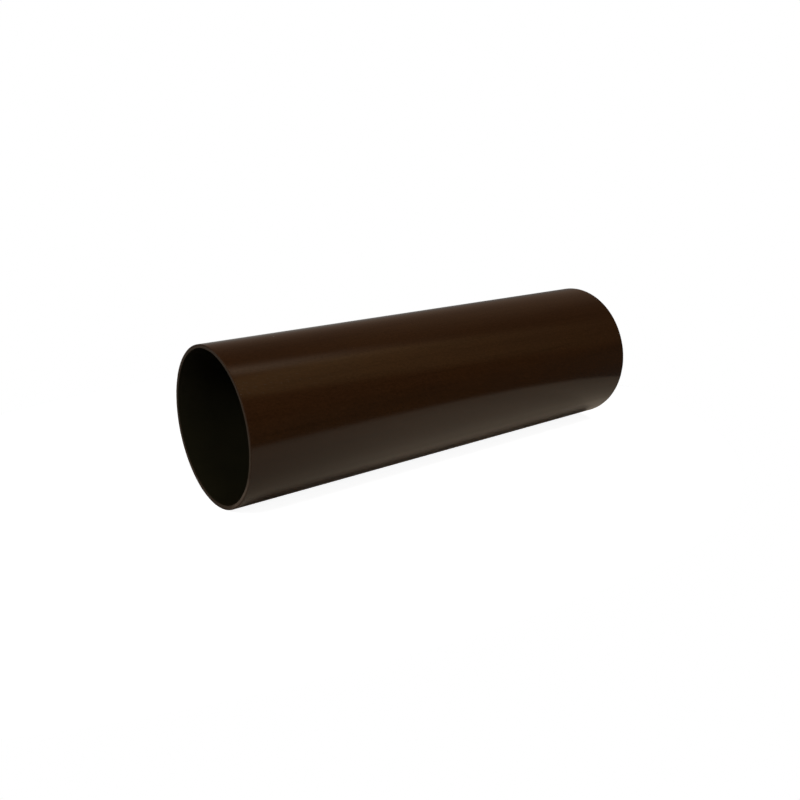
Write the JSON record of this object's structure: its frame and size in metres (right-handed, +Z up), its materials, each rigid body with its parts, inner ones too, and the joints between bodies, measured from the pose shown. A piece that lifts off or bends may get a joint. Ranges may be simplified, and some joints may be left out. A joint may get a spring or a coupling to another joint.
{
  "type": "downpipe",
  "caption": "Plain round rainwater downpipe, a short straight length of thin-walled brown plastic pipe with both ends sawn square.",
  "frame": {"origin": "on the floor, in the middle of the line that the pipe lies on", "axes": "+X along the pipe's axis, +Z up, the pipe lying on its side"},
  "size_m": [0.216, 0.068, 0.068],
  "materials": {
    "brown_pvc": "satin"
  },
  "bodies": {
    "root": {"pipe": "brown_pvc"}
  },
  "joints": []
}
